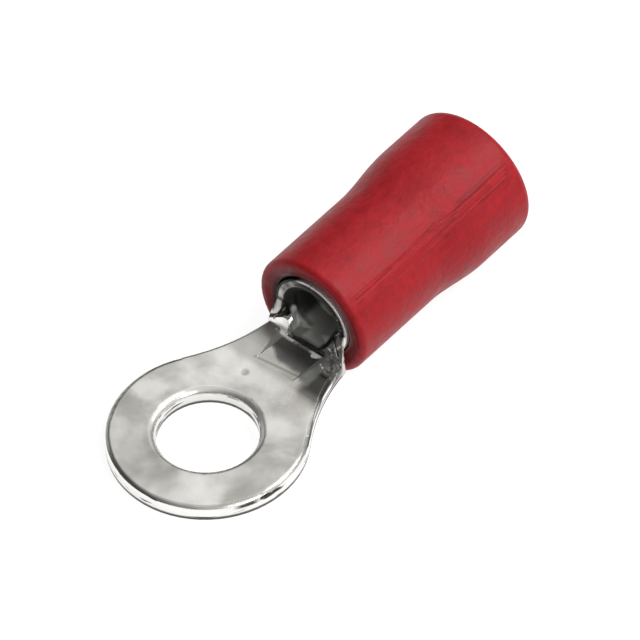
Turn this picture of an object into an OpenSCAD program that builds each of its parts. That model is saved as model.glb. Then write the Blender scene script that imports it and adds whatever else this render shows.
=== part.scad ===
// Insulated ring terminal: one stamped and rolled metal terminal and one moulded vinyl sleeve.
// Millimetres. Origin: stud hole axis on the tongue's underside. +Z is up, +X runs along the barrel.

/* [Ring tongue] */
// Diameter of the stud hole
stud_hole_d = 4.3; // [3.8:0.1:4.8]
// Width of the ring
ring_w = 8.5; // [8:0.1:9]
// Thickness of the stamped sheet
sheet_t = 0.75; // [0.65:0.05:0.85]
// Radius rolled over by the blanking punch round the hole
hole_roll_r = 0.32; // [0.2:0.02:0.36]
// Radius rolled over by the blanking punch round the ring's outline
edge_roll_r = 0.24; // [0.24:0.02:0.3]
// Radius rolled over by the blanking punch along the neck
neck_roll_r = 0.2; // [0.14:0.02:0.2]

/* [Neck] */
// Width of the neck where it meets the barrel
neck_w = 3.84; // [3.82:0.02:3.92]
// Radius that blends the ring into the neck
neck_blend_r = 9; // [8.2:0.2:10]
// Distance from the stud hole axis to the crease across the neck
crease_x = 4.2; // [4:0.05:4.5]
// Width of the coined ramp in the neck floor
ramp_w = 2; // [1.8:0.04:2.04]
// Width of the flat floor between the neck's turned-up sides
floor_w = 1.56; // [1.5:0.02:1.7]
// Depth of the coined ramp at its deep end
ramp_deep = 0.18; // [0.1:0.02:0.24]
// Distance from the foot of the neck's turned-up sides to the barrel's rim
side_run = 0.46; // [0.42:0.02:0.54]
// Inward lean of the neck's turned-up sides in degrees
side_lean = 7; // [4:1:9]
// Slant of the relief slits beside the barrel's rim in degrees
slit_slant = 58; // [50:1:66]

/* [Crimp barrel] */
// Distance from the stud hole axis to the front rim of the barrel
barrel_front_x = 6.66; // [6.62:0.01:6.7]
// Length of the rolled barrel
barrel_len = 4.6; // [4:0.1:5]
// Outside diameter of the rolled barrel
barrel_od = 3.8; // [3.74:0.02:3.84]
// Radius of the bell mouth at the barrel's front rim
bell_r = 0.45; // [0.36:0.01:0.48]
// Gap left along the butted seam
seam_gap = 0.05; // [0.04:0.01:0.12]
// Depth of the serrations that bite into the conductor
serration_deep = 0.12; // [0.08:0.02:0.16]
// Distance between the serrations
serration_pitch = 1.05; // [0.9:0.05:1.1]

/* [Insulating sleeve] */
// Distance from the stud hole axis to the sleeve's front end
sleeve_front_x = 6.64; // [6.62:0.01:6.7]
// Length of the sleeve
sleeve_len = 10.7; // [10.2:0.1:11.2]
// Outside diameter of the sleeve over the barrel
sleeve_front_od = 5.68; // [5.5:0.02:5.8]
// Outside diameter of the sleeve at the wire entry
sleeve_rear_od = 6.26; // [6.1:0.02:6.4]
// Wall of the sleeve at the wire entry
entry_wall = 0.68; // [0.6:0.02:0.8]
// Clearance in radius between the sleeve and the barrel
grip_gap = 0.04; // [0.03:0.01:0.06]
// Depth of the shallow dish in the sleeve's front face
lip_deep = 0.16; // [0.08:0.02:0.24]
// Distance from the sleeve's front end to the start of the flare
flare_start = 4.85; // [4.6:0.05:5]
// Length of the flare
flare_len = 3; // [2.5:0.1:3.3]
// Radius of the sleeve's rounded front edge
front_round_r = 0.26; // [0.2:0.02:0.4]
// Radius of the sleeve's rounded rear edge
rear_round_r = 0.38; // [0.2:0.02:0.5]

/* [Hidden] */
$fn = 96;
roll_fn = 28;
skin = 0.2;
slit = 0.4;
stud_hole_r = stud_hole_d / 2;
ring_r = ring_w / 2;
neck_half = neck_w / 2;
ring_mid_r = (stud_hole_r + hole_roll_r + ring_r) / 2;

// the blend circles touch the ring at an angle set by the two radii
blend_y = neck_half + neck_blend_r;
blend_x = sqrt(pow(ring_r + neck_blend_r, 2) - blend_y * blend_y);
blend_turn = atan2(blend_y, blend_x);
// degrees by which the neck's rolled edge runs on into the ring
roll_overlap = 1;
side_end_x = sleeve_front_x - 0.05;
side_corner_run = 0.24;
root_lap = 0.2;
root_inset = 0.015;
function neck_turn(x) = 270 - asin((blend_x - x) / neck_blend_r);

barrel_r = barrel_od / 2;
barrel_end_x = barrel_front_x + barrel_len;
// the bore runs a hair below the sheet's upper face
bore_sink = 0.02;
bore_r = barrel_r - sheet_t + bore_sink;
throat_r = barrel_r - sheet_t + bell_r;
side_foot_x = barrel_front_x - side_run;
side_top_z = barrel_r + 0.1;
ramp_end_x = side_foot_x;
ramp_len = ramp_end_x - crease_x;
ramp_tilt = atan(ramp_deep / ramp_len);
ramp_splay = 60;
// how far the inner faces of the turned-up sides lean out, in degrees
side_splay = 26;
slit_w = 0.09;
slit_len = 1.5;
slit_past = 0.06;
slit_mid_y = barrel_r - 0.58;
slit_mid_z = barrel_r - 0.33;
serration_count = 3;
serration_half = 0.16;
first_serration_x = barrel_front_x + 1.4;

sleeve_end_x = sleeve_front_x + sleeve_len;
sleeve_front_r = sleeve_front_od / 2;
sleeve_rear_r = sleeve_rear_od / 2;
grip_r = barrel_r + grip_gap;
lip_r = grip_r + 0.05;
dish_r = sleeve_front_r - front_round_r - 0.1;
lip_land = 0.3;
// the funnel leads flush into the barrel's bore
funnel_throat_r = bore_r;
throat_land = 0.35;
funnel_len = 1.7;
entry_r = sleeve_rear_r - entry_wall;
entry_round_r = 0.2;
flare_x = sleeve_front_x + flare_start;
flare_steps = 14;
round_steps = 8;

// turns a solid of revolution about Z so that it lies along +X on the barrel's axis
module on_barrel_axis() {
    translate([0, 0, barrel_r]) rotate([0, 90, 0]) children();
}

// a rod on the barrel's axis
module axis_rod(from_x, to_x, r) {
    on_barrel_axis() translate([0, 0, from_x]) cylinder(h = to_x - from_x, r = r);
}

// ---- the stamped terminal ----

module neck_outline(end_x) {
    reach_y = end_x * tan(blend_turn);
    difference() {
        polygon([[0, 0], [end_x, -reach_y], [end_x, reach_y]]);
        for (side = [-1, 1]) translate([blend_x, side * blend_y]) circle(r = neck_blend_r);
    }
}

// ring and neck, with the stud hole
module tongue() {
    difference() {
        cylinder(h = sheet_t, r = ring_r);
        ring_roll();
        translate([0, 0, -1]) cylinder(h = sheet_t + 2, r = stud_hole_r);
        hole_roll();
    }
    difference() {
        neck();
        for (side = [0, 1]) mirror([0, side, 0]) neck_roll();
        translate([0, 0, -1]) cylinder(h = sheet_t + 2, r = ring_mid_r);
    }
}

// the neck with its sides turned up steeply just before the barrel
module neck() {
    reach = slit + ring_w;
    difference() {
        union() {
            linear_extrude(side_top_z) neck_outline(side_end_x);
            // root that carries the neck into the barrel
            intersection() {
                axis_rod(crease_x, barrel_front_x + root_lap, barrel_r - root_inset);
                translate([side_foot_x - slit, -ring_r, -slit])
                    cube([side_run + slit + root_lap, ring_w, slit + side_top_z - 0.1]);
            }
        }
        rotate([90, 0, 0]) translate([0, 0, -reach]) linear_extrude(2 * reach) polygon([
            [-slit, sheet_t],
            [side_foot_x, sheet_t],
            [side_end_x, side_top_z - 0.1],
            [side_end_x, side_top_z + slit],
            [-slit, side_top_z + slit]
        ]);
        for (side = [-1, 1]) translate([side_end_x, side * (neck_half + 0.02), -slit])
            rotate([0, 0, 45]) translate([-side_corner_run / 2, -side_corner_run / 2])
                cube([side_corner_run, side_corner_run, side_top_z + 2 * slit]);
        for (side = [0, 1]) mirror([0, side, 0]) translate([side_foot_x - slit, neck_half + 0.09, sheet_t])
            rotate([side_lean, 0, 0]) cube([side_run + slit, ring_w, ring_w]);
    }
}

module hole_roll() {
    rotate_extrude() difference() {
        translate([stud_hole_r - skin, sheet_t - hole_roll_r]) square([skin + hole_roll_r, hole_roll_r + skin]);
        translate([stud_hole_r + hole_roll_r, sheet_t - hole_roll_r]) circle(r = hole_roll_r, $fn = roll_fn);
    }
}

module ring_roll() {
    rotate_extrude() difference() {
        translate([ring_r - edge_roll_r, sheet_t - edge_roll_r]) square([edge_roll_r + skin, edge_roll_r + skin]);
        translate([ring_r - edge_roll_r, sheet_t - edge_roll_r]) circle(r = edge_roll_r, $fn = roll_fn);
    }
}

module neck_roll() {
    from_turn = 180 + blend_turn - roll_overlap;
    to_turn = neck_turn(side_foot_x + 0.02);
    translate([blend_x, blend_y, 0]) rotate([0, 0, from_turn]) rotate_extrude(angle = to_turn - from_turn)
        difference() {
            translate([neck_blend_r - skin, sheet_t - neck_roll_r]) square([skin + neck_roll_r, neck_roll_r + skin]);
            translate([neck_blend_r + neck_roll_r, sheet_t - neck_roll_r]) circle(r = neck_roll_r, $fn = roll_fn);
        }
}

// opening between the neck's sides, with the bell mouth of the barrel behind it
module throat() {
    intersection() {
        union() {
            axis_rod(side_foot_x - 1, barrel_front_x + 0.01, throat_r);
            on_barrel_axis() rotate_extrude() difference() {
                translate([0, barrel_front_x - 0.1]) square([throat_r, bell_r + 0.1]);
                translate([throat_r, barrel_front_x + bell_r]) circle(r = bell_r, $fn = roll_fn);
            }
        }
        rotate([90, 0, 90]) linear_extrude(2 * barrel_front_x) polygon([
            [-floor_w / 2, sheet_t],
            [floor_w / 2, sheet_t],
            [floor_w / 2 + ring_w * tan(side_splay), sheet_t + ring_w],
            [-floor_w / 2 - ring_w * tan(side_splay), sheet_t + ring_w]
        ]);
    }
}

// shallow ramp coined into the neck's floor, ending in the step that stops the conductor
module coined_ramp() {
    half = ramp_w / 2;
    deep = 2 * ramp_deep + skin;
    intersection() {
        translate([crease_x, 0, sheet_t]) rotate([0, ramp_tilt, 0]) rotate([90, 0, 90])
            linear_extrude(2 * ramp_len)
                polygon([[-half, 0], [half, 0], [half + deep * tan(ramp_splay), deep], [-half - deep * tan(ramp_splay), deep]]);
        translate([crease_x - slit, -ring_r, 0]) cube([ramp_len + slit, ring_w, sheet_t + skin]);
    }
}

module serrations() {
    for (k = [0:serration_count - 1]) on_barrel_axis() translate([0, 0, first_serration_x + k * serration_pitch])
        rotate_extrude() polygon([
            [0, -serration_half],
            [bore_r - 0.01, -serration_half],
            [bore_r + serration_deep, 0],
            [bore_r - 0.01, serration_half],
            [0, serration_half]
        ]);
}

module terminal() {
    color([0.78, 0.77, 0.74]) difference() {
        union() {
            tongue();
            axis_rod(barrel_front_x, barrel_end_x, barrel_r);
        }
        throat();
        coined_ramp();
        axis_rod(ramp_end_x + 0.2, barrel_end_x + 1, bore_r);
        serrations();
        // butted seam along the top
        translate([barrel_front_x - slit, -seam_gap / 2, barrel_r]) cube([barrel_len + 2 * slit, seam_gap, ring_w]);
        // relief slits between the turned-up sides and the barrel's rim
        for (side = [0, 1]) mirror([0, side, 0]) translate([side_foot_x - slit, slit_mid_y, slit_mid_z])
            rotate([-slit_slant, 0, 0]) translate([0, -slit_len / 2, 0])
                cube([side_run + slit + slit_past, slit_len, slit_w]);
    }
}

// ---- the moulded sleeve ----

// quarter round from one direction to the next, as profile points
function round_points(cx, cy, r, from_a, to_a) =
    [for (k = [0:round_steps]) let (a = from_a + (to_a - from_a) * k / round_steps) [cx + r * cos(a), cy + r * sin(a)]];

function flare_points() =
    [for (k = [0:flare_steps]) let (u = k / flare_steps)
        [sleeve_front_r + (sleeve_rear_r - sleeve_front_r) * (3 - 2 * u) * u * u, flare_x + flare_len * u]];

module insulation_sleeve() {
    funnel_start_x = barrel_end_x + throat_land;
    color([0.72, 0.15, 0.16]) on_barrel_axis() rotate_extrude() polygon(concat(
        [[lip_r, sleeve_front_x + lip_deep]],
        [[dish_r, sleeve_front_x]],
        round_points(sleeve_front_r - front_round_r, sleeve_front_x + front_round_r, front_round_r, -90, 0),
        flare_points(),
        round_points(sleeve_rear_r - rear_round_r, sleeve_end_x - rear_round_r, rear_round_r, 0, 90),
        round_points(entry_r + entry_round_r, sleeve_end_x - entry_round_r, entry_round_r, 90, 180),
        [[entry_r, funnel_start_x + funnel_len]],
        [[funnel_throat_r, funnel_start_x]],
        [[funnel_throat_r, barrel_end_x]],
        [[grip_r, barrel_end_x]],
        [[grip_r, sleeve_front_x + lip_deep + lip_land]]
    ));
}

terminal();
insulation_sleeve();
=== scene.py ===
import math
import bpy
from mathutils import Matrix, Vector


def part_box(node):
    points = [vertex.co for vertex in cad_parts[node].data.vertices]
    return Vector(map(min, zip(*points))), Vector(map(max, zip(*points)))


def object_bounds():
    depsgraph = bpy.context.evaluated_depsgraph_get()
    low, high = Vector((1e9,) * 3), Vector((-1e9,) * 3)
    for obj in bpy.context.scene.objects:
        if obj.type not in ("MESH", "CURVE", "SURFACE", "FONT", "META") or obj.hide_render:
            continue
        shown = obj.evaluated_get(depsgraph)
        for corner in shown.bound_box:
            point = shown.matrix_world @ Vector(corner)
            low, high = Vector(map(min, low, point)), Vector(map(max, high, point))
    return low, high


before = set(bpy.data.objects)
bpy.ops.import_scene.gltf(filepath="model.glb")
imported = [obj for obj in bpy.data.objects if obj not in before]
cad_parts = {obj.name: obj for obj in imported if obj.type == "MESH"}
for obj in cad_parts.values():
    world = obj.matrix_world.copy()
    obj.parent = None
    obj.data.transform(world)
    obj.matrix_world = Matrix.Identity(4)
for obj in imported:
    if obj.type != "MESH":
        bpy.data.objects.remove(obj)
cad_low, cad_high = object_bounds()

MM = 0.001

scene = bpy.context.scene
scene.view_settings.view_transform = "Standard"
scene.view_settings.look = "None"

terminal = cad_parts["terminal"]
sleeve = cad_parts["insulation_sleeve"]
metal_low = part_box("terminal")[0]
sleeve_low, sleeve_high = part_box("insulation_sleeve")
# height of the barrel axis above the tongue's underside, in millimetres
AXIS_Z = (sleeve_low[2] + sleeve_high[2]) / 2 / MM


# ---- small helpers for node materials ----

def set_range(node, from_low, from_high, to_low, to_high):
    """Fills the four limits of a Map Range node."""
    node.inputs["From Min"].default_value = from_low
    node.inputs["From Max"].default_value = from_high
    node.inputs["To Min"].default_value = to_low
    node.inputs["To Max"].default_value = to_high


def per_mm(*cycles):
    """Noise scales in cycles for each millimetre: one number for all axes, or one for each."""
    each = cycles * 3 if len(cycles) == 1 else cycles
    return tuple(number / MM for number in each)


class Graph:
    """Builds one material's nodes with short calls. A mask is 1 where a mark lies and 0 elsewhere."""

    def __init__(self, name):
        self.material = bpy.data.materials.new(name)
        self.material.use_nodes = True
        self.tree = self.material.node_tree
        self.tree.nodes.clear()
        self.shader = self.node("ShaderNodeBsdfPrincipled")
        out = self.node("ShaderNodeOutputMaterial")
        self.link(self.shader.outputs[0], out.inputs["Surface"])
        where = self.node("ShaderNodeTexCoord")
        self.place = where.outputs["Object"]
        self.facing = where.outputs["Normal"]
        self.colour = None

    def node(self, kind, **settings):
        made = self.tree.nodes.new(kind)
        for key, value in settings.items():
            setattr(made, key, value)
        return made

    def link(self, source, target):
        self.tree.links.new(source, target)

    def feed(self, target, value):
        """Links a socket, or sets a plain number or colour."""
        if isinstance(value, bpy.types.NodeSocket):
            self.link(value, target)
        else:
            target.default_value = value

    # sources

    def scaled(self, factors):
        """Object coordinates, stretched per axis."""
        mapping = self.node("ShaderNodeMapping")
        self.link(self.place, mapping.inputs["Vector"])
        mapping.inputs["Scale"].default_value = factors
        return mapping.outputs[0]

    def split(self, vector):
        parts = self.node("ShaderNodeSeparateXYZ")
        self.link(vector, parts.inputs[0])
        return parts.outputs[:3]

    def millimetres(self):
        """Object coordinates as three numbers in millimetres."""
        return self.split(self.scaled((1 / MM, 1 / MM, 1 / MM)))

    def noise(self, factors, detail=2.0, rough=0.5, warp=0.0, seed=0.0):
        made = self.node("ShaderNodeTexNoise", noise_dimensions="4D")
        self.link(self.scaled(factors), made.inputs["Vector"])
        made.inputs["W"].default_value = seed
        made.inputs["Scale"].default_value = 1.0
        made.inputs["Detail"].default_value = detail
        made.inputs["Roughness"].default_value = rough
        made.inputs["Distortion"].default_value = warp
        return made.outputs["Fac"]

    # arithmetic

    def math(self, how, a, b=0.0):
        made = self.node("ShaderNodeMath", operation=how)
        self.feed(made.inputs[0], a)
        self.feed(made.inputs[1], b)
        return made.outputs[0]

    def add(self, a, b):
        return self.math("ADD", a, b)

    def less(self, a, b):
        return self.math("SUBTRACT", a, b)

    def absolute(self, a):
        return self.math("ABSOLUTE", a)

    def times(self, *values):
        total = values[0]
        for value in values[1:]:
            total = self.math("MULTIPLY", total, value)
        return total

    def most(self, *values):
        """The largest of the values."""
        largest = values[0]
        for value in values[1:]:
            largest = self.math("MAXIMUM", largest, value)
        return largest

    def length(self, a, b):
        return self.math("SQRT", self.add(self.times(a, a), self.times(b, b)))

    # masks

    def span(self, value, from_low, from_high, to_low, to_high):
        """Carries one range of numbers over to another, and holds its ends."""
        made = self.node("ShaderNodeMapRange")
        self.feed(made.inputs["Value"], value)
        set_range(made, from_low, from_high, to_low, to_high)
        return made.outputs[0]

    def step(self, value, low, high):
        """0 below low, 1 above high, smooth between them; the other way round where low is the larger."""
        made = self.node("ShaderNodeMapRange", interpolation_type="SMOOTHSTEP")
        self.feed(made.inputs["Value"], value)
        if low < high:
            set_range(made, low, high, 0, 1)
        else:
            set_range(made, high, low, 1, 0)
        return made.outputs[0]

    def between(self, value, start, full, fade, end):
        """Two masks that together are 1 from full to fade, and 0 before start and after end."""
        return self.step(value, start, full), self.step(value, end, fade)

    def waver(self, cycles, amount, seed, detail=3):
        """Noise that swings by an amount to either side of 0, mostly to make an edge ragged."""
        return self.span(self.noise(per_mm(cycles), detail=detail, seed=seed), 0.3, 0.7, -amount, amount)

    def near(self, value, middle, full, end):
        """1 within full of the middle, and 0 further away than end."""
        return self.step(self.absolute(self.less(value, middle)), end, full)

    # colour and relief

    def mix(self, share, a, b):
        made = self.node("ShaderNodeMix", data_type="RGBA")
        self.feed(made.inputs["Factor"], share)
        self.feed(made.inputs["A"], a)
        self.feed(made.inputs["B"], b)
        return made.outputs["Result"]

    def paint(self, mask, tint):
        """Covers the colour so far with a tint, where the mask is 1."""
        self.colour = self.mix(mask, self.colour, tint)

    def bump(self, height, depth, after=None):
        """Relief of a depth in millimetres, laid over the relief so far."""
        made = self.node("ShaderNodeBump")
        made.inputs["Distance"].default_value = depth * MM
        made.inputs["Strength"].default_value = 1.0
        self.link(height, made.inputs["Height"])
        if after is not None:
            self.link(after, made.inputs["Normal"])
        return made.outputs[0]


# ---- tin plated copper ----

# All positions and lengths are in millimetres, in the part's own frame. x runs from the stud hole's axis
# towards the sleeve, y towards the left side, and z up from the tongue's underside.

# the ring and the neck
DULL_TIN = (0.47, 0.457, 0.432, 1)
BRIGHT_TIN = (0.76, 0.747, 0.716, 1)
DULL_STAIN = (0.45, 0.437, 0.41, 1)
PALE_STAIN = (0.84, 0.828, 0.80, 1)
HOLE_WALL = (0.74, 0.73, 0.70, 1)
OUTER_WALL = (0.92, 0.91, 0.89, 1)
ROLLED_EDGE = (0.88, 0.87, 0.84, 1)
TORN_STREAK = (0.05, 0.05, 0.045, 1)
DEEP_TEAR = (0.02, 0.02, 0.018, 1)
BURR_LINE = (0.09, 0.088, 0.08, 1)
WORKED_TIN = (0.52, 0.51, 0.48, 1)
DARK_HEM = (0.035, 0.034, 0.031, 1)
THIN_TARNISH = (0.34, 0.335, 0.31, 1)
THICK_TARNISH = (0.14, 0.14, 0.125, 1)
DENT_TONE = (0.30, 0.29, 0.28, 1)
DARK_DIRT = (0.06, 0.06, 0.055, 1)
PALE_DIRT = (0.42, 0.41, 0.39, 1)

# the coined ramp and the barrel's mouth
LEFT_SCUFF = (0.27, 0.26, 0.22, 1)
RIGHT_SCUFF = (0.19, 0.187, 0.175, 1)
CREASE_TONE = (0.27, 0.26, 0.21, 1)
RAMP_SOOT = (0.235, 0.24, 0.23, 1)
FLOOR_DUST = (0.62, 0.64, 0.60, 1)
WALL_SOOT = (0.15, 0.16, 0.15, 1)
LEFT_SOOT = (0.22, 0.225, 0.21, 1)
DEEP_SOOT = (0.03, 0.031, 0.029, 1)
WIPED_STRIP = (0.60, 0.60, 0.57, 1)

# the barrel's rim, the step and the turned-up sides
RIM_DARK = (0.12, 0.115, 0.11, 1)
RIM_SMEAR = (0.50, 0.485, 0.46, 1)
RIM_PALE = (0.62, 0.61, 0.58, 1)
RIM_EDGE = (0.03, 0.03, 0.03, 1)
RIM_SOOT = (0.07, 0.066, 0.062, 1)
RIM_RUBBED = (0.95, 0.94, 0.92, 1)
DRY_FLUX = (0.90, 0.895, 0.88, 1)
STEP_GAP = (0.02, 0.02, 0.02, 1)
BRIGHT_FACET = (0.95, 0.94, 0.92, 1)
DARK_FOLD = (0.015, 0.015, 0.014, 1)
DARK_LINE = (0.012, 0.012, 0.011, 1)

# broad patches of tone on the tongue, one of them a painted highlight: x, y, how far each reaches, how
# strong it is, and its tint
STAINS = (
    (-2.9, -1.8, 1.5, 0.75, PALE_STAIN),
    (0.1, 3.2, 1.0, 0.8, PALE_STAIN),
    (-2.9, 1.5, 1.3, 0.6, DULL_STAIN),
    (2.9, -1.9, 1.2, 0.5, DULL_STAIN),
    # a painted highlight on the neck's right, before the ramp
    (3.5, -0.9, 0.75, 0.7, PALE_STAIN),
)
# within this distance of its middle a patch has its full strength
STAIN_CORE = 0.3
# the deep tear in the front of the ring, by x and z
TEAR_PLACE = (-1.9, 0.5)
# the dent in the neck and the drop of flux on the step, by x and y
DENT_PLACE = (3.38, 0.87)
DROP_PLACE = (5.95, -0.72)
# the painted glint on the left wall, by x, y and the height above the barrel's axis
GLINT_PLACE = (6.84, 1.14, -0.42)
# where the ramp's crease crosses the middle, and how far it shifts along x for each millimetre of y
CREASE_START = 4.46
CREASE_SLANT = -0.137
# where the painted shade's left edge crosses the middle, and how fast it spreads to the left from there
SOOT_START = 4.8
SOOT_SPREAD = 1.13
# how steeply the facet's upper edge falls towards the left, and how steeply the fold does and from where
FOOT_SLOPE = 0.55
FOLD_SLOPE = 2.5
FOLD_TOP = 3.245
# the bright facet's middle, and how fast its plane rises along x, y and z
FACET_MIDDLE = (6.4, 1.2, 1.0)
FACET_RISE = (0.394, -0.158, -0.315)
# edges catch the light as if they were rounded this much
EDGE_RADIUS = 0.07
BARE_METALLIC = 1.0
COVERED_METALLIC = 0.05


def tin_graph():
    """The material with the distances and masks that most of its marks use."""
    g = Graph("tin_plate")
    g.x, g.y, g.z = g.millimetres()
    g.above = g.less(g.z, AXIS_Z)
    g.from_axis = g.length(g.y, g.above)
    g.from_hole = g.length(g.x, g.y)
    g.upward = g.split(g.facing)[2]
    g.wall = g.step(g.absolute(g.upward), 0.75, 0.45)
    g.top = g.step(g.upward, 0.8, 0.95)
    g.tongue = g.step(g.x, 6.3, 6.1)
    g.outer = g.step(g.from_hole, 2.8, 3.2)
    return g


def paint_plating(g):
    """Cloudy tin with broad patches, paler on the ring's front and far side, duller at the neck's root,
    and a painted highlight on the neck's right.
    """
    cloud = g.noise(per_mm(0.42), detail=3, rough=0.55, warp=0.4, seed=1.7)
    g.colour = g.mix(g.step(cloud, 0.36, 0.66), DULL_TIN, BRIGHT_TIN)
    drift = g.waver(0.9, 0.45, seed=41.0)
    # broad patches of tone, one of them a painted highlight
    for at_x, at_y, reach, strength, tint in STAINS:
        away = g.length(g.less(g.x, at_x), g.less(g.y, at_y))
        stain = g.step(g.add(away, drift), reach, STAIN_CORE)
        g.paint(g.times(stain, g.top, strength), tint)


def paint_blanked_edge(g):
    """The cut walls and the hole's roll are brighter, with torn streaks, one deep tear and painted shade
    along the walls' foot.
    """
    g.paint(g.times(g.wall, g.tongue, 0.85), g.mix(g.outer, HOLE_WALL, OUTER_WALL))
    g.hole_roll = g.times(g.step(g.from_hole, 2.5, 2.3), g.tongue, g.step(g.z, 0.3, 0.45))
    g.paint(g.times(g.hole_roll, 0.8), ROLLED_EDGE)
    # the streaks are denser near the neck and on the near side, and rarer on the far side
    g.tear = g.noise(per_mm(0.55, 0.55, 4.5), detail=2, rough=0.5, seed=11.0)
    across = g.less(g.x, g.y)
    near_neck = g.step(g.x, 2.6, 4.2)
    near_side = g.times(g.step(across, 2.5, 4.0), g.outer)
    far_side = g.times(g.step(across, 3.0, 0.5), g.outer)
    bias = g.less(g.add(g.times(near_neck, 0.05), g.times(near_side, 0.075)), g.times(far_side, 0.04))
    g.paint(g.times(g.step(g.add(g.tear, bias), 0.57, 0.62), g.wall, g.tongue), TORN_STREAK)
    gouge = g.times(g.near(g.x, TEAR_PLACE[0], 0.20, 0.60), g.near(g.z, TEAR_PLACE[1], 0.05, 0.13))
    g.paint(g.times(gouge, g.outer, g.step(g.y, -2.5, -3.0), 0.95), DEEP_TEAR)
    # painted shade: a dark line along the foot of the cut walls
    g.paint(g.times(g.step(g.z, 0.20, 0.10), g.wall, g.tongue), BURR_LINE)


def paint_neck(g):
    """Duller metal before the ramp, a dark right edge, a left corner that grows darker towards the barrel,
    and a dirty right one.
    """
    worked = g.times(*g.between(g.x, 3.75, 4.2, 4.9, 5.3), g.top)
    g.paint(g.times(worked, 0.75), WORKED_TIN)
    hem = g.step(g.add(g.y, g.waver(2.2, 0.10, seed=17.0)), -1.15, -1.75)
    hem = g.times(hem, *g.between(g.x, 3.4, 4.4, 5.2, 5.7), g.step(g.z, 0.48, 0.60))
    g.paint(g.times(hem, 0.95), DARK_HEM)
    g.tarnish = g.times(g.step(g.x, 4.7, 5.5), g.tongue, g.step(g.y, 0.95, 1.25), g.step(g.z, 0.42, 0.56))
    g.paint(g.times(g.tarnish, 0.85), g.mix(g.step(g.x, 5.3, 6.0), THIN_TARNISH, THICK_TARNISH))
    g.speckle = g.noise(per_mm(3.2), detail=2, rough=0.6, seed=23.0)
    g.corner = g.times(g.step(g.x, 5.2, 5.5), g.tongue, g.step(g.y, -1.15, -1.35), g.step(g.z, 0.2, 0.35))
    g.paint(g.times(g.corner, 0.9), g.mix(g.step(g.speckle, 0.42, 0.60), DARK_DIRT, PALE_DIRT))


def paint_ramp(g):
    """The coined ramp: painted shade on its side walls and along the slanting crease where it begins, and
    painted shade on its floor.
    """
    inclined = g.step(g.upward, 0.975, 0.93)
    g.scuff = g.times(inclined, g.step(g.x, 4.1, 4.3), g.tongue, g.step(g.z, 0.4, 0.55))
    g.scuff = g.times(g.scuff, g.step(g.absolute(g.y), 1.6, 1.4))
    right = g.times(g.scuff, g.step(g.y, 0.1, -0.1))
    # painted shade on the inclined side walls, darker on the right
    g.paint(g.times(g.scuff, 0.75), g.mix(right, LEFT_SCUFF, RIGHT_SCUFF))
    from_crease = g.less(g.x, g.add(CREASE_START, g.times(g.y, CREASE_SLANT)))
    crease = g.step(g.absolute(from_crease), 0.11, 0.03)
    crease = g.times(crease, *g.between(g.y, -1.7, -1.2, 1.05, 1.25), g.top)
    # painted shade along the crease
    g.paint(g.times(crease, 0.6), CREASE_TONE)
    # the painted shade begins earlier on the right, and leaves the left corner bare
    ragged = g.waver(3, 0.05, seed=14.0)
    earlier = g.span(g.step(g.y, -0.85, -1.25), 0, 1, 0.0, 0.35)
    start = g.step(g.add(g.add(g.x, ragged), earlier), 4.60, 4.95)
    right_end = g.step(g.add(g.y, ragged), -1.75, -1.45)
    leftward = g.less(g.y, g.times(g.less(g.x, SOOT_START), SOOT_SPREAD))
    left_end = g.step(g.add(leftward, ragged), 0.55, 0.2)
    g.patch = g.times(start, g.step(g.x, 6.12, 5.82), right_end, left_end, g.step(g.z, 1.3, 1.0))
    g.paint(g.times(g.patch, 0.9), RAMP_SOOT)


def paint_mouth(g):
    """Inside the barrel: painted light on its floor, painted shade on its walls and deeper in, and a
    painted lit strip on the left.
    """
    g.mouth = g.times(g.step(g.x, 6.2, 6.5), g.step(g.from_axis, 1.62, 1.48))
    g.off_floor = g.most(g.step(g.above, -0.55, -0.2), g.step(g.absolute(g.y), 0.62, 0.9))
    soot = g.mix(g.off_floor, FLOOR_DUST, WALL_SOOT)
    soot = g.mix(g.times(g.step(g.y, 0.22, 0.42), g.step(g.x, 7.3, 7.1), 0.7), soot, LEFT_SOOT)
    soot = g.mix(g.times(g.step(g.x, 7.3, 7.0), g.step(g.above, -0.7, -0.3)), soot, DEEP_SOOT)
    wiped = g.times(g.step(g.y, 0.72, 0.82), *g.between(g.x, 6.2, 6.3, 6.8, 6.95))
    wiped = g.times(wiped, g.step(g.above, -0.45, -0.55))
    soot = g.mix(wiped, soot, WIPED_STRIP)
    # painted light and shade inside the barrel's mouth
    g.paint(g.times(g.mouth, 0.96), soot)


def paint_rim(g):
    """The barrel's rim: smeared on the left with a painted shadow along its outer edge, and painted shade
    on the right with a painted highlight on its outer edge.
    """
    g.rim = g.times(g.step(g.x, 6.35, 6.6), g.step(g.from_axis, 1.50, 1.60))
    smear = g.noise(per_mm(0.5, 1.1, 1.1), detail=2, rough=0.5, warp=0.5, seed=21.0)
    left = g.mix(g.step(smear, 0.42, 0.60), RIM_DARK, RIM_SMEAR)
    left = g.mix(g.times(g.step(g.above, 0.75, 0.45), 0.8), left, RIM_PALE)
    # painted shadow along the outer edge on the left
    left = g.mix(g.step(g.from_axis, 1.74, 1.84), left, RIM_EDGE)
    # painted shade on the right, with a painted highlight on its outer edge
    right = g.mix(g.step(g.from_axis, 1.76, 1.83), RIM_SOOT, RIM_RUBBED)
    g.paint(g.rim, g.mix(g.step(g.y, 0.9, 0.4), left, right))


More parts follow.
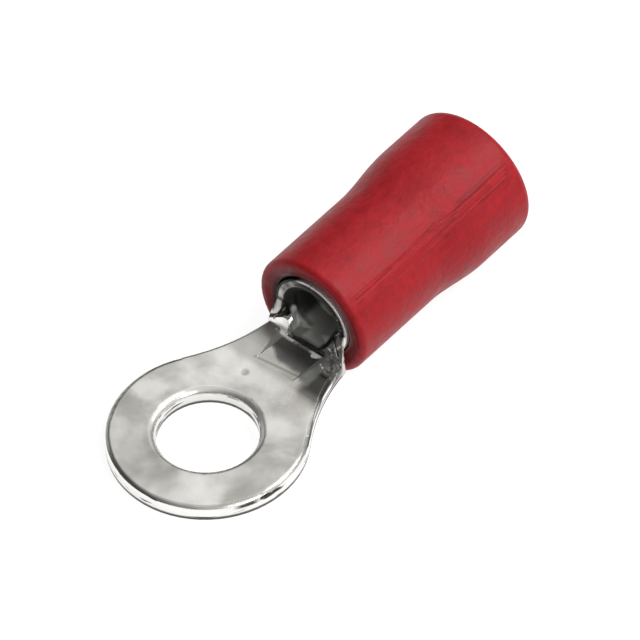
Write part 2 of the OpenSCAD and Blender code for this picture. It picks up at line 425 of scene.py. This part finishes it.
def paint_flux(g):
    """A painted highlight along the step and a painted glint on the left wall, both as pale flux, and
    dried flux in a drop at the step's right end and in spots.
    """
    # a painted highlight along the step's edge
    ridge = g.times(*g.between(g.x, 5.92, 6.04, 6.11, 6.17), *g.between(g.y, -1.1, -0.9, 1.3, 1.5))
    broken = g.step(g.noise(per_mm(2.6), detail=2, seed=33.0), 0.36, 0.50)
    thin_middle = g.span(g.most(g.step(g.y, 0.2, 0.55), g.step(g.y, -0.25, -0.6)), 0, 1, 0.25, 1)
    ridge = g.times(ridge, broken, thin_middle)
    from_drop = g.length(g.times(g.less(g.x, DROP_PLACE[0]), 1.5), g.less(g.y, DROP_PLACE[1]))
    drop = g.step(g.add(from_drop, g.span(g.speckle, 0.35, 0.65, -0.04, 0.04)), 0.24, 0.15)
    # a painted glint on the left wall
    glint_x, glint_y, glint_above = GLINT_PLACE
    from_glint = g.length(g.less(g.y, glint_y), g.less(g.above, glint_above))
    from_glint = g.length(from_glint, g.less(g.x, glint_x))
    glint = g.times(g.step(from_glint, 0.24, 0.04), 0.8)
    spots = g.step(g.noise(per_mm(4.5), detail=1, seed=31.0), 0.62, 0.68)
    spots = g.times(spots, *g.between(g.x, 5.3, 5.6, 6.65, 6.75), g.step(g.y, -1.05, -1.25))
    g.flux = g.most(ridge, drop, glint, spots)
    g.flux = g.times(g.flux, g.step(g.from_axis, 1.95, 1.9), g.step(g.z, 0.3, 0.45))
    g.paint(g.flux, DRY_FLUX)
    # painted shadow: a dark line behind the step
    gap = g.times(*g.between(g.x, 6.16, 6.18, 6.21, 6.25), *g.between(g.y, -1.2, -1.0, 0.6, 0.8))
    g.paint(g.times(gap, g.step(g.z, 0.5, 0.6), 0.9), STEP_GAP)


def paint_left_side(g):
    """A painted highlight on the facet at the foot, over its tilted relief, painted shadow in a fold that
    runs up from it, and a painted shadow line next to the sleeve.
    """
    front = g.times(*g.between(g.x, 6.1, 6.2, 6.60, 6.66), g.step(g.y, 0.90, 0.98))
    over_foot = g.add(g.above, g.times(g.y, FOOT_SLOPE))
    g.foot = g.times(front, g.step(over_foot, 0.13, 0.05), g.step(g.above, -0.58, -0.66))
    # painted highlight on the facet
    g.paint(g.foot, BRIGHT_FACET)
    from_fold = g.add(g.above, g.less(g.times(g.y, FOLD_SLOPE), FOLD_TOP))
    line = g.times(g.step(g.absolute(from_fold), 0.25, 0.12), g.step(over_foot, 0.05, 0.12))
    inside = g.times(g.step(over_foot, 0.07, 0.15), g.step(from_fold, 0.0, -0.12))
    hook = g.times(g.near(over_foot, 0.17, 0.06, 0.11), g.step(g.y, 1.25, 1.35))
    fold = g.times(g.most(line, inside, hook), front, g.step(g.above, 0.1, 0.0))
    # painted shadow in the fold
    g.paint(g.times(fold, 0.95), DARK_FOLD)
    reach = g.add(g.from_axis, g.times(g.math("MINIMUM", g.above, 0.0), 0.2))
    outline = g.times(g.step(reach, 1.77, 1.83), g.step(g.x, 6.36, 6.42), g.step(g.y, 0.9, 1.2))
    # painted shadow line next to the sleeve
    g.paint(g.times(outline, g.step(g.above, -0.8, -0.66), 0.95), DARK_LINE)


def paint_right_side(g):
    """A painted shadow line follows the inner edge."""
    line = g.times(*g.between(g.x, 6.18, 6.22, 6.60, 6.66), g.step(g.y, -0.62, -0.72))
    g.paint(g.times(line, g.step(g.from_axis, 1.42, 1.32), 0.95), DARK_LINE)


def paint_dent(g):
    """A tiny dent in the neck, painted darker as shade in it."""
    away = g.length(g.less(g.x, DENT_PLACE[0]), g.less(g.y, DENT_PLACE[1]))
    g.dent = g.times(g.step(away, 0.25, 0.05), g.top)
    g.paint(g.times(g.dent, 0.55), DENT_TONE)


def tin_metallic(g):
    """The metal shows less on the mouth's floor, under the painted shade of the ramp's walls, on the
    neck's corners, on the hole's roll, and under flux and painted highlights.
    """
    dust = g.times(g.mouth, g.less(1.0, g.off_floor))
    dirt = g.most(g.scuff, g.times(g.most(g.corner, g.tarnish), 0.7))
    film = g.most(g.times(dust, 0.3), g.times(dirt, 0.85), g.times(g.hole_roll, 0.2))
    return g.span(g.most(g.flux, film), 0, 1, BARE_METALLIC, COVERED_METALLIC)


def tin_roughness(g):
    """Satin in patches, with a fine grain, and duller under the painted shade of the ramp and the mouth,
    and on the rim.
    """
    satin = g.noise(per_mm(0.5), detail=3, seed=4.2)
    rough = g.add(g.span(satin, 0.35, 0.65, 0.16, 0.28), g.waver(7, 0.02, seed=2.1, detail=2))
    sooty = g.most(g.patch, g.mouth, g.rim)
    rough = g.add(rough, g.times(sooty, g.less(1.0, g.foot), 0.2))
    return g.add(rough, g.times(g.mouth, 0.15))


def facet_height(g):
    """A tilted plane over the facet, so that it catches the light above."""
    along_x, along_y, along_z = (
        g.times(g.less(place, middle), rise)
        for place, middle, rise in zip((g.x, g.y, g.z), FACET_MIDDLE, FACET_RISE))
    return g.times(g.add(g.add(along_x, along_y), along_z), g.foot)


def tin_relief(g):
    """Rounded edges under waves, the press's marks, drawn lines, torn streaks and grain."""
    soft_edges = g.node("ShaderNodeBevel", samples=6)
    soft_edges.inputs["Radius"].default_value = EDGE_RADIUS * MM
    wave = g.noise(per_mm(0.33), detail=2, rough=0.4, seed=7.0)
    # the press lifts the sheet a little in front of the coined ramp
    swell = g.times(g.step(g.x, 4.0, 5.5), g.tongue, g.step(g.z, 0.35, 0.5), g.top)
    lines = g.noise(per_mm(1.2, 14, 14), detail=2, seed=3.0)
    torn = g.times(g.tear, g.wall, g.tongue)
    grain = g.noise(per_mm(22), detail=2, seed=5.0)
    relief = soft_edges.outputs[0]
    for height, depth in (
            (wave, 0.22), (swell, 0.13), (facet_height(g), 1.0), (g.dent, -0.008),
            (lines, 0.0009), (torn, 0.02), (grain, 0.0006)):
        relief = g.bump(height, depth, relief)
    return relief


def tin_material():
    g = tin_graph()
    paint_plating(g)
    paint_blanked_edge(g)
    paint_neck(g)
    paint_ramp(g)
    paint_mouth(g)
    paint_rim(g)
    paint_flux(g)
    paint_left_side(g)
    paint_right_side(g)
    paint_dent(g)
    g.link(g.colour, g.shader.inputs["Base Color"])
    g.link(tin_metallic(g), g.shader.inputs["Metallic"])
    g.link(tin_roughness(g), g.shader.inputs["Roughness"])
    g.link(tin_relief(g), g.shader.inputs["Normal"])
    return g.material


# ---- moulded vinyl ----

DEEP_RED = (0.29, 0.005, 0.010, 1)
PALE_RED = (0.52, 0.016, 0.024, 1)
SCORED_RED = (0.23, 0.005, 0.010, 1)
FACE_GRIME = (0.14, 0.02, 0.024, 1)
PALE_GRIME = (0.26, 0.15, 0.15, 1)
DARK_GRIME = (0.04, 0.015, 0.015, 1)
VINYL_SPECULAR = 0.26


def vinyl_graph():
    """The material with the distances, noises and masks that its colour and its skin share."""
    g = Graph("red_vinyl")
    g.x, g.y, g.z = g.millimetres()
    above = g.less(g.z, AXIS_Z)
    g.from_axis = g.length(g.y, above)
    around = g.math("ARCTAN2", above, g.y)
    g.speck = g.noise(per_mm(2.4), detail=2, rough=0.6, seed=6.0)
    g.mottle = g.noise(per_mm(1.3), detail=4, rough=0.6, warp=0.2, seed=19.0)
    # lines drawn along the tube, most of them on one side
    g.draw = g.noise(per_mm(0.16, 6, 6), detail=2, rough=0.6, warp=0.25, seed=8.0)
    g.scored = g.times(*g.between(around, 2.18, 2.32, 2.52, 2.66), *g.between(g.x, 6.95, 7.4, 16.5, 16.95))
    return g


def paint_vinyl_body(g):
    """Mottled red with scored lines."""
    cloud = g.noise(per_mm(0.4, 0.5, 0.5), detail=4, rough=0.65, warp=0.3, seed=9.0)
    spots = g.add(g.span(g.mottle, 0.35, 0.65, 0, 0.4), g.span(g.speck, 0.35, 0.65, 0, 0.25))
    tone = g.add(g.span(cloud, 0.3, 0.7, 0, 0.35), spots)
    g.colour = g.mix(tone, DEEP_RED, PALE_RED)
    lines = g.times(g.step(g.draw, 0.55, 0.63), g.span(g.scored, 0, 1, 0.12, 1))
    g.paint(g.times(lines, 0.8), SCORED_RED)


def paint_vinyl_face(g):
    """The dished front face is painted in shade, with a ring of painted shadow next to the metal, darkest
    on the lower left.
    """
    front = g.times(g.step(g.x, 6.95, 6.80), g.step(g.from_axis, 2.62, 2.40))
    # painted shade on the front face
    g.paint(g.times(front, 0.6), FACE_GRIME)
    wider = g.span(g.step(g.y, 0.9, 1.4), 0, 1, 0.0, 0.12)
    grime = g.times(g.step(g.x, 7.2, 6.9), g.step(g.less(g.from_axis, wider), 2.10, 2.0))
    lower_left = g.times(g.step(g.y, 0.2, 1.0), g.step(g.z, AXIS_Z + 1.5, AXIS_Z + 1.1))
    # painted shadow next to the metal
    g.paint(g.times(grime, 0.85), g.mix(lower_left, PALE_GRIME, DARK_GRIME))


def vinyl_roughness(g):
    """Half dull, in blotches and specks."""
    return g.add(g.span(g.mottle, 0.3, 0.7, 0.39, 0.53), g.span(g.speck, 0.3, 0.7, -0.04, 0.04))


def vinyl_relief(g):
    """Orange peel with the drawn lines over it."""
    peel = g.noise(per_mm(1.9), detail=3, rough=0.6, seed=12.0)
    lines = g.times(g.draw, g.span(g.scored, 0, 1, 0.05, 1))
    return g.bump(lines, 0.085, g.bump(peel, 0.055))


def vinyl_material():
    g = vinyl_graph()
    paint_vinyl_body(g)
    paint_vinyl_face(g)
    g.link(g.colour, g.shader.inputs["Base Color"])
    g.shader.inputs["Specular IOR Level"].default_value = VINYL_SPECULAR
    g.link(vinyl_roughness(g), g.shader.inputs["Roughness"])
    g.link(vinyl_relief(g), g.shader.inputs["Normal"])
    return g.material


for piece, material in ((terminal, tin_material()), (sleeve, vinyl_material())):
    piece.data.materials.clear()
    piece.data.materials.append(material)


# ---- floor ----

FLOOR_HALF = 1.2
FLOOR_GAP = 0.01 * MM
# the sleeve's rear end is rounded, and touches the floor this far in from its end
REAR_TOUCH = 0.4 * MM
PAPER_DARK = (0.30, 0.30, 0.30, 1)
PAPER_PALE = (0.32, 0.32, 0.32, 1)
PAPER_GLOW = 0.86
PAPER_GLOW_ON_OBJECT = 0.05


def paper_material():
    """Pale paper, lit from below like a light table, but throwing little of that light on the object."""
    g = Graph("paper")
    g.shader.inputs["Roughness"].default_value = 0.9
    g.shader.inputs["Specular IOR Level"].default_value = 0.1
    fibre = g.noise((90, 90, 90), detail=4, seed=1.0)
    g.link(g.mix(fibre, PAPER_DARK, PAPER_PALE), g.shader.inputs["Base Color"])
    g.shader.inputs["Emission Color"].default_value = (1, 1, 1, 1)
    bounced = g.node("ShaderNodeLightPath").outputs["Is Diffuse Ray"]
    g.link(g.span(bounced, 0, 1, PAPER_GLOW, PAPER_GLOW_ON_OBJECT), g.shader.inputs["Emission Strength"])
    return g.material


def make_floor(front, rear):
    """A plane through the two points on which the object lies."""
    corners = [(x * FLOOR_HALF, y * FLOOR_HALF, 0) for x, y in ((-1, -1), (1, -1), (1, 1), (-1, 1))]
    mesh = bpy.data.meshes.new("floor")
    mesh.from_pydata(corners, [], [(0, 1, 2, 3)])
    mesh.materials.append(paper_material())
    made = bpy.data.objects.new("floor", mesh)
    scene.collection.objects.link(made)
    tilt = math.atan2(front.z - rear.z, rear.x - front.x)
    place = Matrix.Translation((front + rear) / 2 - Vector((0, 0, FLOOR_GAP)))
    made.matrix_world = place @ Matrix.Rotation(tilt, 4, "Y")
    return made


# the object lies on the ring's front edge and on the sleeve's rear end
floor = make_floor(
    front=Vector((metal_low[0], 0, metal_low[2])),
    rear=Vector((sleeve_high[0] - REAR_TOUCH, 0, sleeve_low[2])))


# ---- light ----

world = bpy.data.worlds.new("studio")
scene.world = world
world.use_nodes = True
sky_tree = world.node_tree
background = sky_tree.nodes["Background"]


def sky_node(kind, **settings):
    made = sky_tree.nodes.new(kind)
    for key, value in settings.items():
        setattr(made, key, value)
    return made


def sky_patch(towards, start, end, low, high, previous=None):
    """Light that grows smoothly towards one direction of the studio, added to the light so far."""
    where = sky_node("ShaderNodeTexCoord").outputs["Generated"]
    dot = sky_node("ShaderNodeVectorMath", operation="DOT_PRODUCT")
    sky_tree.links.new(where, dot.inputs[0])
    dot.inputs[1].default_value = Vector(towards).normalized()
    ramp_node = sky_node("ShaderNodeMapRange", interpolation_type="SMOOTHERSTEP")
    sky_tree.links.new(dot.outputs["Value"], ramp_node.inputs["Value"])
    set_range(ramp_node, start, end, low, high)
    if previous is None:
        return ramp_node.outputs[0]
    total = sky_node("ShaderNodeMath", operation="ADD")
    sky_tree.links.new(previous, total.inputs[0])
    sky_tree.links.new(ramp_node.outputs[0], total.inputs[1])
    return total.outputs[0]


# a big overhead cloth, brightest on the right, two soft panels behind the object and one low on its left
sky = sky_patch((0.25, -0.45, 0.86), start=0.10, end=0.97, low=0.07, high=0.70)
sky = sky_patch((0.42, 0.30, 0.86), start=0.90, end=0.985, low=0, high=0.42, previous=sky)
sky = sky_patch((0.66, 0.42, 0.62), start=0.955, end=0.995, low=0, high=0.30, previous=sky)
sky = sky_patch((0.10, 0.96, 0.26), start=0.90, end=0.99, low=0, high=0.40, previous=sky)
background.inputs["Color"].default_value = (1, 0.995, 0.98, 1)
sky_tree.links.new(sky, background.inputs["Strength"])


def direction(azimuth, elevation):
    """Unit vector from the object towards a lamp or the camera, by two angles in degrees."""
    turn, lift = math.radians(azimuth), math.radians(elevation)
    return Vector((math.sin(turn) * math.cos(lift), -math.cos(turn) * math.cos(lift), math.sin(lift)))


def softbox(name, azimuth, elevation, distance, size, power):
    """A square softbox that faces the object."""
    data = bpy.data.lights.new(name, "AREA")
    data.shape = "SQUARE"
    data.size = size
    data.energy = power
    lamp = bpy.data.objects.new(name, data)
    scene.collection.objects.link(lamp)
    away = direction(azimuth, elevation)
    lamp.location = (cad_low + cad_high) / 2 + away * distance
    lamp.rotation_mode = "QUATERNION"
    lamp.rotation_quaternion = (-away).to_track_quat("-Z", "Y")


softbox("key_light", azimuth=50, elevation=52, distance=0.35, size=0.20, power=0.5)
softbox("front_light", azimuth=-12, elevation=33, distance=0.35, size=0.12, power=0.22)


# ---- camera ----

CAMERA_AZIMUTH = -48.13
CAMERA_ELEVATION = 48.0
CAMERA_ROLL = -2.27
CAMERA_DISTANCE = 0.3299
LENS = 447.9
TARGET = Vector((6.765, -0.391, 1.9)) * MM

camera_data = bpy.data.cameras.new("camera")
camera_data.sensor_width = 36
camera_data.lens = LENS
camera_data.clip_start = 0.01
camera_data.clip_end = 10
camera = bpy.data.objects.new("camera", camera_data)
scene.collection.objects.link(camera)
to_camera = direction(CAMERA_AZIMUTH, CAMERA_ELEVATION)
roll = Matrix.Rotation(math.radians(CAMERA_ROLL), 3, "Z").to_quaternion()
camera.rotation_mode = "QUATERNION"
camera.location = TARGET + to_camera * CAMERA_DISTANCE
camera.rotation_quaternion = (-to_camera).to_track_quat("-Z", "Y") @ roll
scene.camera = camera
